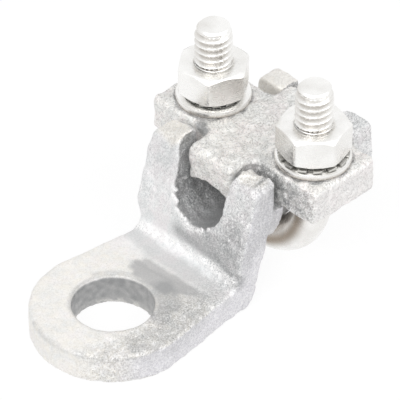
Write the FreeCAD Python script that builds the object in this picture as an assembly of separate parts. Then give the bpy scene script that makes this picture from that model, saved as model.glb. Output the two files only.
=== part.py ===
import FreeCAD, Part
import os
from math import acos, atan2, cos, hypot, pi, radians, sin, sqrt, tan

# A cable clamp for grounding: a cast eye lug whose upright end carries a half-round cable trough,
# a cast keeper that presses on the cable, and a U-bolt with nuts that draws the two together.
# Millimetres. Origin: centre of the lug hole on the underside of the lug. +X runs from the hole
# to the clamp, +Y is the left side, +Z is up.

# Eye and tab of the lug
tab_thickness = 5.6
hole_radius = 6.6
hole_rim_chamfer = 0.5
eye_radius = 13.8
body_half_width = 11.9
neck_x = 15.2
neck_radius = 12.0
rim_chamfer = 0.45

# Upright riser that ends in the front prongs
riser_front_x = 17.2
riser_crease_height = 10.5
riser_lean_deg = 16.8
bend_inner_radius = 2.4
bend_outer_radius = 3.0
crease_radius = 3.0

# Cable trough
seat_height = 17.3
trough_axis_height = 16.9
trough_half_width = 5.5
flange_radius = 11.7
flange_gap = 6.5

# Prongs
front_prong_gap = 8.7
front_prong_top = 23.4
prong_front_radius = 3.0
prong_top_fall = 0.2
prong_edge_chamfer = 0.9
prong_edge_radius = 0.6
rear_prong_gap = 9.8
rear_prong_thickness = 4.5
rear_prong_top = 22.8
rear_prong_side_draft = 0.6

# U-bolt, a quarter inch rod
rod_radius = 3.175
leg_spacing = 23.2
leg_x = 33.9
leg_top = 37.9
leg_end_chamfer = 0.65
saddle_clearance = 0.1

# Keeper
keeper_thickness = 6.2
keeper_rib_depth = 0.45
ear_half_length = 7.4
ear_reach = 18.9
ear_corner_radius = 1.2
nose_half_length = 12.2
nose_clearance = 0.4
nose_corner_radius = 0.9
notch_radius = 1.6
leg_hole_clearance = 0.65
keeper_arch_depth = 1.0
keeper_arch_half_width = 4.5
keeper_top_chamfer = 0.5

# Flat washers, toothed washers and nuts
washer_thickness = 1.0
washer_radius = 6.35
washer_hole_clearance = 0.35
washer_edge_chamfer = 0.2
lock_thickness = 0.4
lock_radius = 6.25
lock_ring_radius = 4.75
lock_hole_clearance = 0.15
tooth_count = 12
tooth_share = 0.6
tooth_root_overlap = 0.35
tooth_twist_deg = 7.0
lock_play = 0.03
nut_height = 5.56
nut_flats = 11.11
nut_bore_clearance = 0.05
nut_countersink = 0.45
nut_chamfer_deg = 30.0
left_nut_turn_deg = 38.0
right_nut_turn_deg = 16.0

# Sizes that follow from the ones above
lean_slope = tan(radians(riser_lean_deg))
leg_y = leg_spacing / 2
bend_centre_z = leg_y + rod_radius
saddle_radius = leg_y - rod_radius - saddle_clearance
front_flange_back_x = leg_x - flange_gap
rear_flange_front_x = leg_x + flange_gap
front_prong_back_x = leg_x - front_prong_gap
rear_prong_front_x = leg_x + rear_prong_gap
rear_face_x = rear_prong_front_x + rear_prong_thickness
keeper_top = seat_height + keeper_thickness
nose_half_width = trough_half_width - nose_clearance
rib_bottom = seat_height - keeper_rib_depth
tooth_width = 2 * lock_radius * sin(pi / tooth_count) * tooth_share
tooth_rise = tooth_width / 2 * sin(radians(tooth_twist_deg))
lock_half_height = tooth_rise + lock_thickness / 2 * cos(radians(tooth_twist_deg)) + lock_play
lock_middle_z = keeper_top + washer_thickness + lock_half_height
nut_base_z = lock_middle_z + lock_half_height
nut_corner_radius = nut_flats / sqrt(3)

X = FreeCAD.Vector(1, 0, 0)
Y = FreeCAD.Vector(0, 1, 0)
Z = FreeCAD.Vector(0, 0, 1)


def at(x, y, z):
    return FreeCAD.Vector(x, y, z)


def rounded_wire(corners, place):
    """Closed outline of straight sides; each corner is (u, v, radius)."""
    count = len(corners)
    entries = []
    exits = []
    edges = []
    for i, (u, v, radius) in enumerate(corners):
        here = place(u, v)
        before = place(*corners[i - 1][:2])
        after = place(*corners[(i + 1) % count][:2])
        to_before = (before - here).normalize()
        to_after = (after - here).normalize()
        half_angle = to_before.getAngle(to_after) / 2
        setback = radius / tan(half_angle)
        entries.append(here + to_before * setback)
        exits.append(here + to_after * setback)
        if radius > 0:
            bisector = (to_before + to_after).normalize()
            middle = here + bisector * (radius / sin(half_angle) - radius)
            edges.append(Part.Arc(entries[i], middle, exits[i]).toShape())
    for i in range(count):
        start = exits[i]
        end = entries[(i + 1) % count]
        if start.distanceToPoint(end) > 1e-6:
            edges.append(Part.LineSegment(start, end).toShape())
    return Part.Wire(Part.__sortEdges__(edges))


def prism(corners, place, direction):
    return Part.Face(rounded_wire(corners, place)).extrude(direction)


def box(x0, x1, y0, y1, z0, z1):
    return Part.makeBox(x1 - x0, y1 - y0, z1 - z0, at(x0, y0, z0))


def rod_along_x(radius, x0, x1, z):
    return Part.makeCylinder(radius, x1 - x0, at(x0, 0, z), X)


def turned(profile, x, y):
    """Solid of revolution about a vertical axis; profile is a list of (radius, height)."""
    points = [at(x + radius, y, height) for radius, height in profile]
    face = Part.Face(Part.makePolygon(points + points[:1]))
    return face.revolve(at(x, y, 0), Z, 360)


def flipped(point):
    return at(point.x, -point.y, point.z)


def mirrored(shape):
    return shape.mirror(at(0, 0, 0), Y)


def lug_plan():
    """Eye circle with tangent sides that taper to the neck, then a straight riser width."""
    reach = hypot(neck_x, body_half_width)
    touch_angle = atan2(body_half_width, neck_x) + acos(eye_radius / reach)
    taper = pi / 2 - touch_angle
    touch = at(eye_radius * cos(touch_angle), eye_radius * sin(touch_angle), 0)
    neck = at(neck_x, body_half_width, 0)
    setback = neck_radius * tan(abs(taper) / 2)
    neck_start = neck + (touch - neck).normalize() * setback
    neck_end = neck + X * setback
    neck_middle = neck_end + at(-sin(taper / 2), 1 - cos(taper / 2), 0) * neck_radius
    end = at(front_prong_back_x + 1, body_half_width, 0)
    edges = [Part.Arc(flipped(touch), at(-eye_radius, 0, 0), touch).toShape()]
    edges.append(Part.LineSegment(end, flipped(end)).toShape())
    for place in (lambda p: p, flipped):
        edges.append(Part.LineSegment(place(touch), place(neck_start)).toShape())
        edges.append(Part.Arc(place(neck_start), place(neck_middle), place(neck_end)).toShape())
        edges.append(Part.LineSegment(place(neck_end), place(end)).toShape())
    outline = Part.Wire(Part.__sortEdges__(edges))
    return Part.Face(outline).extrude(Z * (front_prong_top + 1))


def lug_side():
    """Side view of tab, bend and riser, as wide as the eye."""
    foot_x = front_prong_back_x - trough_axis_height * lean_slope
    top_front_x = riser_front_x + (front_prong_top - riser_crease_height) * lean_slope
    start_x = -eye_radius - 1
    corners = [
        (start_x, 0, 0),
        (foot_x, 0, bend_outer_radius),
        (front_prong_back_x, trough_axis_height, crease_radius),
        (front_prong_back_x, front_prong_top, prong_edge_radius),
        (top_front_x, front_prong_top, prong_front_radius),
        (riser_front_x, riser_crease_height, crease_radius),
        (riser_front_x, tab_thickness, bend_inner_radius),
        (start_x, tab_thickness, 0),
    ]
    half = eye_radius + 1
    return prism(corners, lambda u, v: at(u, -half, v), Y * (2 * half))


def flange(x0, x1):
    """Round-bottomed plate around the cable, level with the seat on top."""
    disc = rod_along_x(flange_radius, x0, x1, seat_height)
    over = flange_radius + 1
    return disc.cut(box(x0 - 1, x1 + 1, -over, over, seat_height, seat_height + over))


def saddle():
    """Core of the trough that the bend of the U-bolt hugs."""
    x0 = front_flange_back_x - 1
    x1 = rear_flange_front_x + 1
    core = rod_along_x(saddle_radius, x0, x1, bend_centre_z)
    over = saddle_radius + 1
    core = core.common(box(x0, x1, -over, over, bend_centre_z - over, bend_centre_z))
    cheeks = box(x0, x1, -saddle_radius, saddle_radius, bend_centre_z, seat_height)
    return core.fuse(cheeks)


def rear_prong_block():
    """Both rear prongs before the slot is cut, narrowing towards the top."""
    top_half = flange_radius - rear_prong_side_draft
    low = seat_height - 1
    corners = [
        (-flange_radius, low, 0),
        (flange_radius, low, 0),
        (top_half, rear_prong_top, prong_edge_chamfer),
        (-top_half, rear_prong_top, prong_edge_chamfer),
    ]
    place = lambda u, v: at(rear_prong_front_x, u, v)
    block = prism(corners, place, X * rear_prong_thickness)
    keep = rod_along_x(flange_radius, rear_prong_front_x, rear_face_x, seat_height)
    upper = box(rear_prong_front_x, rear_face_x, -eye_radius, eye_radius, seat_height,
                rear_prong_top)
    return block.common(keep.fuse(upper))


def prong_roof():
    """Cutter that lets the tops of the front prongs fall away to the sides."""
    x0 = riser_front_x - 1
    fall = prong_top_fall * (body_half_width - trough_half_width)
    over = 1
    side_z = front_prong_top - fall
    corner_y = body_half_width - prong_edge_chamfer
    points = [
        (trough_half_width, front_prong_top),
        (corner_y, side_z + prong_top_fall * prong_edge_chamfer),
        (body_half_width, side_z - prong_edge_chamfer),
        (body_half_width + over, side_z - prong_edge_chamfer),
        (body_half_width + over, front_prong_top + over),
        (trough_half_width, front_prong_top + over),
    ]
    outline = Part.makePolygon([at(x0, y, z) for y, z in points + points[:1]])
    cutter = Part.Face(outline).extrude(X * (front_prong_back_x + 1 - x0))
    return cutter.fuse(mirrored(cutter))


def trough():
    """Cutter for the cable trough: a half-round floor with upright sides, open upwards."""
    x0 = riser_front_x - 1
    half = trough_half_width
    top = seat_height + flange_radius
    floor = Part.Arc(at(x0, -half, trough_axis_height), at(x0, 0, trough_axis_height - half),
                     at(x0, half, trough_axis_height)).toShape()
    sides = Part.makePolygon([at(x0, half, trough_axis_height), at(x0, half, top),
                              at(x0, -half, top), at(x0, -half, trough_axis_height)])
    outline = Part.Wire([floor] + sides.Edges)
    return Part.Face(outline).extrude(X * (rear_face_x + 1 - x0))


def edges_where(shape, test):
    return [edge for edge in shape.Edges if test(edge)]


def on_lug_rim(edge):
    """Rims where the side faces meet the tab's top and the riser's front; the underside is square."""
    extent = edge.BoundBox
    across = extent.XLength < 1e-4 and extent.ZLength < 1e-4
    under = extent.ZMin < 1e-3
    foot_x = front_prong_back_x - trough_axis_height * lean_slope - bend_outer_radius
    behind = extent.XMin > foot_x and extent.ZMax < tab_thickness
    behind = behind or extent.XMax > front_prong_back_x - crease_radius
    return not across and not under and not behind


def lug_body():
    lug = lug_side().common(lug_plan())
    lug = lug.makeChamfer(rim_chamfer, edges_where(lug, on_lug_rim))
    front_flange_x = riser_front_x + bend_inner_radius
    body = lug.fuse([
        flange(front_flange_x, front_flange_back_x),
        flange(rear_flange_front_x, rear_face_x),
        saddle(),
        rear_prong_block(),
    ])
    body = body.cut([trough(), prong_roof()]).removeSplitter()
    hole = Part.makeCylinder(hole_radius, tab_thickness + 2, at(0, 0, -1))
    body = body.cut(hole)
    rim = Part.makeCone(hole_radius, hole_radius + hole_rim_chamfer, hole_rim_chamfer,
                        at(0, 0, tab_thickness - hole_rim_chamfer))
    return body.cut(rim)


def keeper_corners():
    """Corners of the plus-shaped plan, and of the rib that runs below it from nose to nose."""
    nose = (nose_half_length, nose_half_width, nose_corner_radius)
    quarter = [
        nose,
        (ear_half_length, nose_half_width, notch_radius),
        (ear_half_length, ear_reach, ear_corner_radius),
    ]
    outlines = []
    for part in (quarter, [nose]):
        left = part + [(-x, y, r) for x, y, r in reversed(part)]
        right = [(x, -y, r) for x, y, r in reversed(left)]
        outlines.append(left + right)
    return outlines


def edges_at_height(shape, height):
    return [edge for edge in shape.Edges
            if abs(edge.BoundBox.ZMin - height) < 1e-4 and abs(edge.BoundBox.ZMax - height) < 1e-4]


def keeper():
    plan, rib_plan = keeper_corners()
    plate = prism(plan, lambda u, v: at(leg_x + u, v, seat_height), Z * keeper_thickness)
    plate = plate.makeChamfer(keeper_top_chamfer, edges_at_height(plate, keeper_top))
    rib_height = seat_height - rib_bottom + 1
    rib = prism(rib_plan, lambda u, v: at(leg_x + u, v, rib_bottom), Z * rib_height)
    arch_radius = (keeper_arch_half_width ** 2 + keeper_arch_depth ** 2) / (2 * keeper_arch_depth)
    arch = rod_along_x(arch_radius, leg_x - nose_half_length - 1,
                       leg_x + nose_half_length + 1,
                       rib_bottom + keeper_arch_depth - arch_radius)
    holes = [
        Part.makeCylinder(rod_radius + leg_hole_clearance, keeper_thickness + 2,
                          at(leg_x, side * leg_y, seat_height - 1))
        for side in (1, -1)
    ]
    return plate.fuse(rib).removeSplitter().cut([arch] + holes)


def u_bolt():
    ring = Part.Face(Part.Wire(Part.makeCircle(rod_radius, at(leg_x, leg_y, bend_centre_z), Z)))
    bend = ring.revolve(at(leg_x, 0, bend_centre_z), X, -180)
    tip_radius = rod_radius - leg_end_chamfer
    profile = [
        (0, bend_centre_z),
        (rod_radius, bend_centre_z),
        (rod_radius, leg_top - leg_end_chamfer),
        (tip_radius, leg_top),
        (0, leg_top),
    ]
    legs = [turned(profile, leg_x, side * leg_y) for side in (1, -1)]
    return bend.fuse(legs).removeSplitter()


def flat_washer(side):
    inner = rod_radius + washer_hole_clearance
    top = keeper_top + washer_thickness
    profile = [
        (inner, keeper_top),
        (washer_radius, keeper_top),
        (washer_radius, top - washer_edge_chamfer),
        (washer_radius - washer_edge_chamfer, top),
        (inner, top),
    ]
    return turned(profile, leg_x, side * leg_y)


def lock_washer(side):
    """Flat ring with outward teeth, each twisted about its own length."""
    half_t = lock_thickness / 2
    inner = rod_radius + lock_hole_clearance
    washer = turned([(inner, -half_t), (lock_ring_radius, -half_t),
                     (lock_ring_radius, half_t), (inner, half_t)], 0, 0)
    root = lock_ring_radius - tooth_root_overlap
    root_half = tooth_width / 2 * root / lock_radius
    corners = [(root, -root_half, 0), (lock_radius, -tooth_width / 2, 0),
               (lock_radius, tooth_width / 2, 0), (root, root_half, 0)]
    tooth = prism(corners, lambda u, v: at(u, v, -half_t), Z * lock_thickness)
    tooth.rotate(at(0, 0, 0), X, tooth_twist_deg)
    for i in range(tooth_count):
        copy = tooth.copy()
        copy.rotate(at(0, 0, 0), Z, 360 / tooth_count * i)
        washer = washer.fuse(copy)
    washer.translate(at(leg_x, side * leg_y, lock_middle_z))
    return washer


def hex_nut(side, turn_deg):
    """Hexagon with both faces chamfered to a circle, and a countersunk bore."""
    corners = [
        at(nut_corner_radius * cos(pi / 3 * i), nut_corner_radius * sin(pi / 3 * i), 0)
        for i in range(6)
    ]
    block = Part.Face(Part.makePolygon(corners + corners[:1])).extrude(Z * nut_height)
    face_radius = nut_flats / 2
    drop = (nut_corner_radius - face_radius) * tan(radians(nut_chamfer_deg))
    turned_blank = turned([(0, 0), (face_radius, 0), (nut_corner_radius, drop),
                           (nut_corner_radius, nut_height - drop),
                           (face_radius, nut_height), (0, nut_height)], 0, 0)
    bore = rod_radius + nut_bore_clearance
    mouth = bore + nut_countersink
    hole = turned([(0, -1), (mouth + 1, -1), (bore, nut_countersink),
                   (bore, nut_height - nut_countersink), (mouth + 1, nut_height + 1),
                   (0, nut_height + 1)], 0, 0)
    nut = block.common(turned_blank).cut(hole)
    nut.rotate(at(0, 0, 0), Z, turn_deg)
    nut.translate(at(leg_x, side * leg_y, nut_base_z))
    return nut


pieces = {
    "lug_body": lug_body(),
    "keeper": keeper(),
    "u_bolt": u_bolt(),
    "left_washer": flat_washer(1),
    "right_washer": flat_washer(-1),
    "left_lock_washer": lock_washer(1),
    "right_lock_washer": lock_washer(-1),
    "left_nut": hex_nut(1, left_nut_turn_deg),
    "right_nut": hex_nut(-1, right_nut_turn_deg),
}

os.makedirs("parts", exist_ok=True)
for name, shape in pieces.items():
    solids = shape.Solids
    if len(solids) == 1:
        shape = solids[0]
    shape.exportStep("parts/" + name + ".step")
    print(name, len(solids), "solid", round(shape.Volume, 1), "mm3", shape.isValid())
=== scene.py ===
import bpy
import bmesh
import math
import numpy as np
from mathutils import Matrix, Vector, noise


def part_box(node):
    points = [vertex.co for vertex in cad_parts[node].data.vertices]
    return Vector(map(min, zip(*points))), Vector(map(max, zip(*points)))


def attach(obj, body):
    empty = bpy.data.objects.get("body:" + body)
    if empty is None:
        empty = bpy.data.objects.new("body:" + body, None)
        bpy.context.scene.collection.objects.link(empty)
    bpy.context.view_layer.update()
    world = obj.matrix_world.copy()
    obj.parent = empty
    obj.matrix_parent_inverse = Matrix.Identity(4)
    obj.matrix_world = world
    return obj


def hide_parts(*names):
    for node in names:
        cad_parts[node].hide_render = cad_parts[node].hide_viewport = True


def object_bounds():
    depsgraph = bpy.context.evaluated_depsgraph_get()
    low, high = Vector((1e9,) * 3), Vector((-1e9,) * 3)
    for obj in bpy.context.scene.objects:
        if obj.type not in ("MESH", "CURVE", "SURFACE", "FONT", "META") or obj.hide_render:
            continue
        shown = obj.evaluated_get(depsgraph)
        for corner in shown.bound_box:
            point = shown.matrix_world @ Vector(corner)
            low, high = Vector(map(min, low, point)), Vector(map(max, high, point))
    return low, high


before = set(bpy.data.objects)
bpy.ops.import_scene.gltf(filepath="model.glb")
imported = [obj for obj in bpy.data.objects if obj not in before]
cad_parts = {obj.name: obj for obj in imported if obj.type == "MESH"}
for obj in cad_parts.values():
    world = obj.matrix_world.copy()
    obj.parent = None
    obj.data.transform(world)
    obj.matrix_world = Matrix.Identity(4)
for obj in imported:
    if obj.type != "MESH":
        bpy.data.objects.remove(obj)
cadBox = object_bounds()
print("frame loaded, nodes:", len(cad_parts))

mm = 0.001
fullTurn = 2 * math.pi
hands = {"left": 1, "right": -1}       # which side of the middle, along y


# where the legs of the U-bolt stand

uLow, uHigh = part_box("u_bolt")
legCentreX = (uLow.x + uHigh.x) / 2
legCentreY = uHigh.y - (uHigh.x - uLow.x) / 2


# meshes and faces

def newPiece(name, verts, faces, sharpAngle=35):
    mesh = bpy.data.meshes.new(name)
    mesh.from_pydata(verts, [], faces)
    obj = bpy.data.objects.new(name, mesh)
    bpy.context.scene.collection.objects.link(obj)
    turnOutwards(mesh)
    softShade(mesh, sharpAngle)
    return obj


def turnOutwards(mesh):
    bm = bmesh.new()
    bm.from_mesh(mesh)
    bmesh.ops.recalc_face_normals(bm, faces=bm.faces)
    bm.to_mesh(mesh)
    bm.free()


def softShade(mesh, sharpAngle):
    mesh.polygons.foreach_set("use_smooth", [True] * len(mesh.polygons))
    mesh.set_sharp_from_angle(angle=math.radians(sharpAngle))


def bakeModifiers(obj):
    graph = bpy.context.evaluated_depsgraph_get()
    mesh = bpy.data.meshes.new_from_object(obj.evaluated_get(graph))
    obj.modifiers.clear()
    obj.data = mesh


def readVertices(mesh, key):
    values = np.empty(len(mesh.vertices) * 3)
    mesh.vertices.foreach_get(key, values)
    return values.reshape(-1, 3)


def paintVertices(mesh, name, *columns):
    # up to four values for each vertex; the fourth is 1 where it isn't given
    paint = np.zeros((len(mesh.vertices), 4), dtype=np.float32)
    paint[:, 3] = 1
    paint[:, :len(columns)] = np.stack(columns, axis=1)
    attribute = mesh.color_attributes.new(name, "FLOAT_COLOR", "POINT")
    attribute.data.foreach_set("color", paint.ravel())


def loopFaces(rings, ringsClosed):
    # quads between neighbouring rings of the same length, each ring closed on itself
    count = len(rings[0])
    total = len(rings)
    faces = []
    for k in range(total if ringsClosed else total - 1):
        a = k * count
        b = (k + 1) % total * count
        for j in range(count):
            n = (j + 1) % count
            faces.append((a + j, a + n, b + n, b + j))
    if not ringsClosed:
        last = (total - 1) * count
        faces.append(tuple(range(count)))
        faces.append(tuple(last + j for j in reversed(range(count))))
    return faces


def ringPiece(name, rings, ringsClosed, sharpAngle, shades):
    # shades holds the painted shade and painted reflections of every point, in the order of the rings
    points = [point for ring in rings for point in ring]
    obj = newPiece(name, points, loopFaces(rings, ringsClosed), sharpAngle)
    paintVertices(obj.data, "shade", shades)
    return obj


def dress(obj, material, body, slot, *nodes):
    obj.data.materials.clear()
    obj.data.materials.append(material)
    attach(obj, body)
    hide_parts(*nodes)
    print("made", obj.name, "faces:", len(obj.data.polygons))


# materials

def newMaterial(name):
    material = bpy.data.materials.new(name)
    material.use_nodes = True
    nodes = material.node_tree.nodes
    nodes.clear()
    out = nodes.new("ShaderNodeOutputMaterial")
    shader = nodes.new("ShaderNodeBsdfPrincipled")
    material.node_tree.links.new(shader.outputs[0], out.inputs[0])
    return material, nodes, material.node_tree.links, shader


def noiseNode(nodes, links, place, scale, detail=2.0, roughness=0.5, distortion=0.0):
    node = nodes.new("ShaderNodeTexNoise")
    node.inputs["Scale"].default_value = scale
    node.inputs["Detail"].default_value = detail
    node.inputs["Roughness"].default_value = roughness
    node.inputs["Distortion"].default_value = distortion
    links.new(place, node.inputs["Vector"])
    return node.outputs[0]


def attributeNode(nodes, links, name):
    # the four values of a colour that the mesh carries at each vertex
    node = nodes.new("ShaderNodeAttribute")
    node.attribute_name = name
    parts = nodes.new("ShaderNodeSeparateColor")
    links.new(node.outputs["Color"], parts.inputs[0])
    return (*parts.outputs, node.outputs["Alpha"])


def rampNode(nodes, links, source, stops):
    ramp = nodes.new("ShaderNodeValToRGB")
    while len(ramp.color_ramp.elements) < len(stops):
        ramp.color_ramp.elements.new(0.5)
    for element, (place, colour) in zip(ramp.color_ramp.elements, stops):
        element.position = place
        element.color = (*colour, 1)
    links.new(source, ramp.inputs[0])
    return ramp.outputs[0]


def greys(*stops):
    return [(place, (shade, shade, shade)) for place, shade in stops]


def spreadNode(nodes, links, source, fromMin, fromMax, toMin, toMax):
    node = nodes.new("ShaderNodeMapRange")
    for key, value in (("From Min", fromMin), ("From Max", fromMax), ("To Min", toMin), ("To Max", toMax)):
        node.inputs[key].default_value = value
    links.new(source, node.inputs["Value"])
    return node.outputs[0]


def mixColours(nodes, links, kind, amount, first, second):
    # amount is a number or a socket, second a colour or a socket
    mix = nodes.new("ShaderNodeMix")
    mix.data_type = "RGBA"
    mix.blend_type = kind
    if isinstance(amount, float):
        mix.inputs[0].default_value = amount
    else:
        links.new(amount, mix.inputs[0])
    links.new(first, mix.inputs[6])
    if isinstance(second, tuple):
        mix.inputs[7].default_value = (*second, 1)
    else:
        links.new(second, mix.inputs[7])
    return mix.outputs[2]


def bumpNode(nodes, links, height, strength, distance, before=None):
    bump = nodes.new("ShaderNodeBump")
    if isinstance(strength, float):
        bump.inputs["Strength"].default_value = strength
    else:
        links.new(strength, bump.inputs["Strength"])
    bump.inputs["Distance"].default_value = distance
    links.new(height, bump.inputs["Height"])
    if before is not None:
        links.new(before, bump.inputs["Normal"])
    return bump.outputs[0]


lugSkin = {
    "light": (0.90, 0.90, 0.905),
    "cool": (0.83, 0.845, 0.85),
    "rosy": (0.91, 0.885, 0.895),
    # painted shade for faces that look sideways
    "side": (0.78, 0.77, 0.80),
    "cream": (0.94, 0.905, 0.84),
    "polish": (0.54, 0.535, 0.53),
    "burr": (0.98, 0.975, 0.97),
    # stains, and painted shade in hollows, gaps and the bore
    "stainAndShade": (0.31, 0.315, 0.32),
    "mostStainAndShade": 0.86,
    "clouds": 330,             # per metre, as the next three
    "wrinkles": 700,
    "pits": 1900,
    "grain": 3600,
    "lineDark": 0.66,          # tone along the wrinkles, partly painted shade
    "pitDark": 0.5,            # tone in the pits, partly painted shade
    "grainDark": 0.88,         # tone in the grain's hollows
    "wrinkleRelief": 0.28,     # share of a wrinkle's own size
    "lineRelief": 0.06 * mm,
    "pitRelief": 0.14 * mm,
    "grainRelief": 0.06 * mm,
    "metallic": 0.35,
    "roughest": 0.6,
    "smoothest": 0.3,
}

keeperSkin = {
    **lugSkin,
    "light": (0.985, 0.965, 0.93),
    "cool": (0.91, 0.91, 0.885),
    "rosy": (0.985, 0.935, 0.915),
    # painted shade for faces that look sideways
    "side": (0.84, 0.81, 0.81),
    "wrinkles": 430,
    "lineDark": 0.6,
    "grainDark": 0.95,
}


def sandCastMaterial(name, skin):
    # wear holds polish, burr, stains with painted shade, and how far a face looks sideways for a painted
    # side shade; skin holds coarseness and cream
    material, nodes, links, shader = newMaterial(name)
    place = nodes.new("ShaderNodeTexCoord").outputs["Object"]
    polish, burr, stainAndShade, side = attributeNode(nodes, links, "wear")
    coarse, cream = attributeNode(nodes, links, "skin")[:2]
    clouds = noiseNode(nodes, links, place, skin["clouds"], 3, 0.6)
    wrinkles = noiseNode(nodes, links, place, skin["wrinkles"], 4, 0.66, 2.2)
    grain = noiseNode(nodes, links, place, skin["grain"], 2, 0.65)
    pits = noiseNode(nodes, links, place, skin["pits"], 2, 0.6, 2.0)

    tones = [(0.40, skin["cool"]), (0.5, skin["light"]), (0.62, skin["rosy"])]
    colour = rampNode(nodes, links, clouds, tones)
    colour = mixColours(nodes, links, "MIX", cream, colour, skin["cream"])
    # faces that look sideways take the side colour: painted shade
    colour = mixColours(nodes, links, "MIX", side, colour, skin["side"])
    colour = mixColours(nodes, links, "MIX", polish, colour, skin["polish"])

    # dark lines, pits and grain, as strong as the skin is coarse there; in the lines and pits this is
    # partly painted shade in the hollows
    lines = rampNode(nodes, links, wrinkles, greys((0.45, 1), (0.495, skin["lineDark"]), (0.54, 1)))
    lineShare = spreadNode(nodes, links, coarse, 0, 0.75, 0, 1)
    colour = mixColours(nodes, links, "MULTIPLY", lineShare, colour, lines)
    pitTone = rampNode(nodes, links, pits, greys((0.32, skin["pitDark"]), (0.40, 1)))
    colour = mixColours(nodes, links, "MULTIPLY", coarse, colour, pitTone)
    grainTone = rampNode(nodes, links, grain, greys((0.36, skin["grainDark"]), (0.47, 1)))
    colour = mixColours(nodes, links, "MULTIPLY", coarse, colour, grainTone)
    stainAndShadeShare = spreadNode(nodes, links, stainAndShade, 0, 1, 0, skin["mostStainAndShade"])
    colour = mixColours(nodes, links, "MIX", stainAndShadeShare, colour, skin["stainAndShade"])

    # painted glints where it is coarse and neither stained nor shaded; bright flecks on the burrs, bare
    # metal with painted glints
    glints = rampNode(nodes, links, grain, greys((0.52, 0), (0.56, 1)))
    glintShare = mixColours(nodes, links, "MULTIPLY", 1.0, coarse, glints)
    cleanAndUnshaded = spreadNode(nodes, links, stainAndShade, 0, 1, 1, 0.4)
    glintShare = mixColours(nodes, links, "MULTIPLY", 1.0, glintShare, cleanAndUnshaded)
    flecks = rampNode(nodes, links, grain, greys((0.40, 0), (0.52, 1)))
    fleckShare = mixColours(nodes, links, "MULTIPLY", 1.0, burr, flecks)
    brightShare = mixColours(nodes, links, "LIGHTEN", 1.0, glintShare, fleckShare)
    colour = mixColours(nodes, links, "MIX", brightShare, colour, skin["burr"])
    links.new(colour, shader.inputs["Base Color"])

    shader.inputs["Metallic"].default_value = skin["metallic"]
    shine = spreadNode(nodes, links, grain, 0.35, 0.65, skin["roughest"], skin["smoothest"])
    links.new(shine, shader.inputs["Roughness"])
    relief = spreadNode(nodes, links, coarse, 0, 1, 0.12, 1.0)
    normal = bumpNode(nodes, links, wrinkles, relief, skin["wrinkleRelief"] / skin["wrinkles"])
    normal = bumpNode(nodes, links, lines, relief, skin["lineRelief"], normal)
    normal = bumpNode(nodes, links, pits, relief, skin["pitRelief"], normal)
    normal = bumpNode(nodes, links, grain, relief, skin["grainRelief"], normal)
    links.new(normal, shader.inputs["Normal"])
    return material


brightSteel = {
    "light": (0.94, 0.935, 0.92),
    "dark": (0.85, 0.84, 0.82),
    # colour of the painted shade and reflections
    "shade": (0.33, 0.28, 0.23),
    "clouds": 260,             # per metre, as the next one
    "streaks": 900,
    "relief": 0.12,
    "depth": 0.03 * mm,
}

# darker steel for the toothed washers, which sit in the gap under the nuts: painted shade
shadedSteel = {
    **brightSteel,
    "light": (0.78, 0.77, 0.74),
    "dark": (0.60, 0.59, 0.57),
    "shade": (0.10, 0.10, 0.09),
}


def steelMaterial(name, steel, roughness, stretch):
    # shade holds the painted shade and reflections at each vertex, stretch draws the streaks out or
    # squeezes them
    material, nodes, links, shader = newMaterial(name)
    place = nodes.new("ShaderNodeTexCoord").outputs["Object"]
    shade = attributeNode(nodes, links, "shade")[0]
    drawn = nodes.new("ShaderNodeMapping")
    drawn.inputs["Scale"].default_value = stretch
    links.new(place, drawn.inputs["Vector"])
    streaks = noiseNode(nodes, links, drawn.outputs[0], steel["streaks"], 3)
    clouds = noiseNode(nodes, links, place, steel["clouds"])
    tone = rampNode(nodes, links, clouds, [(0.35, steel["dark"]), (0.6, steel["light"])])
    colour = mixColours(nodes, links, "MIX", shade, tone, steel["shade"])
    links.new(colour, shader.inputs["Base Color"])
    shader.inputs["Metallic"].default_value = 1.0
    rough = spreadNode(nodes, links, streaks, 0.35, 0.65, roughness - 0.05, roughness + 0.1)
    links.new(rough, shader.inputs["Roughness"])
    normal = bumpNode(nodes, links, streaks, steel["relief"], steel["depth"])
    links.new(normal, shader.inputs["Normal"])
    return material


lugMetal = sandCastMaterial("sandCastLugMetal", lugSkin)
keeperMetal = sandCastMaterial("sandCastKeeperMetal", keeperSkin)
threadSteel = steelMaterial("rolledThreadSteel", brightSteel, roughness=0.24, stretch=(1, 1, 0.35))
nutSteel = steelMaterial("turnedNutSteel", brightSteel, roughness=0.26, stretch=(1, 1, 2.5))
washerSteel = steelMaterial("stampedWasherSteel", brightSteel, roughness=0.24, stretch=(1.5, 1.5, 1))
toothedSteel = steelMaterial("shadedToothedSteel", shadedSteel, roughness=0.4, stretch=(1, 1, 1))
print("materials ready")


# castings: the plain solid is remeshed, its edges are worn round and the sand skin is pressed in

casting = {
    "voxel": 0.27 * mm,
    "edgeSmoothing": 4,
    "roundingPasses": 60,
    "stride": 0.5,                 # how far a vertex moves in each of them
    "depth": 0.08 * mm,            # mean depth of the skin below the plain solid
    "waves": {                     # waves per metre, and how far they reach
        140: 0.06 * mm,
        430: 0.36 * mm,
        1000: 0.26 * mm,
    },
    "waveStep": 7.3,               # keeps the three waves apart in the noise
    "waveStart": 2.1,
    "burrHeight": 0.22 * mm,
    "burrMean": 0.3,
    "polishCalm": 0.8,             # share of the coarseness that polish takes away
    "raggedness": 1.5 * mm,        # how far the edge of a mark wanders
    "fineShare": 0.4,              # share of the fine wave in that
    "fullWander": 4.0,             # in millimetres; the edge of a mark smaller than this wanders less
}

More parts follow.
